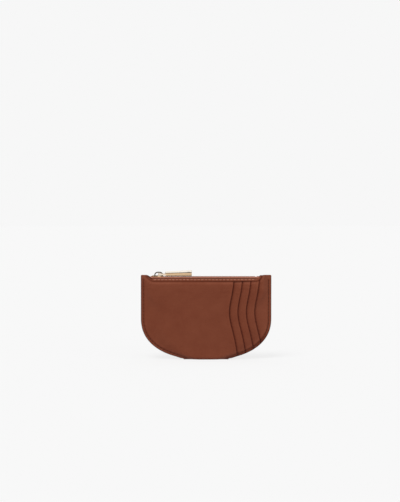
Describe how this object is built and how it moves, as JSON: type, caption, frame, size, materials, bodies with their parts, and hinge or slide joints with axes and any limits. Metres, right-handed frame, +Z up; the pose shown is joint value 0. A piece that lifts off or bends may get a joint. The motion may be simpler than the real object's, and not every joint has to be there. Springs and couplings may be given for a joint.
{
  "type": "zippered pouch",
  "caption": "D-shaped leather pouch with a zip across its scooped mouth, a bar pull, and side-loading card slots with wavy edges on its front.",
  "frame": {"origin": "middle of the base, on the surface that the pouch stands on", "axes": "+Z up, +X to the right along the zip, the front with the card slots faces -Y"},
  "size_m": [0.13, 0.0126, 0.0888],
  "materials": {
    "leather": "fine grained, satin",
    "lining": "plain woven, matt",
    "zip_tape": "woven, matt",
    "zip_teeth": "moulded, satin",
    "thread": "waxed thread",
    "gold": "polished pale gold plate"
  },
  "bodies": {
    "pouch": {"outer_shell": "leather", "pocket_backing": "leather", "slot_facing_2": "leather", "slot_facing_3": "leather", "slot_facing_4": "leather", "top_binding_front": "leather", "top_binding_back": "leather", "lining_front": "lining", "lining_back": "lining", "slot_lining_2": "lining", "slot_lining_3": "lining", "slot_lining_4": "lining", "zip_tape_front": "zip_tape", "zip_tape_back": "zip_tape", "zip_teeth_front": "zip_teeth", "zip_teeth_back": "zip_teeth", "top_stop_front": "zip_teeth", "top_stop_back": "zip_teeth", "bottom_stop": "zip_teeth", "seam_thread_left": "thread", "seam_thread_right": "thread", "binding_thread_front": "thread", "binding_thread_back": "thread"},
    "slider": {"slider_body": "gold", "slider_crown": "gold"},
    "pull": {"pull_bar": "gold", "pull_pin": "gold"}
  },
  "joints": [
    {"name": "zip_slide", "type": "slide", "parent": "pouch", "child": "slider", "axis": [1, 0, 0], "range_m": [0, 0.07]},
    {"name": "pull_flip", "type": "hinge", "parent": "slider", "child": "pull", "pos_m": [-0.0472, 0.0009, 0.0851], "axis": [0, -1, 0], "range_deg": [0, 170]}
  ]
}
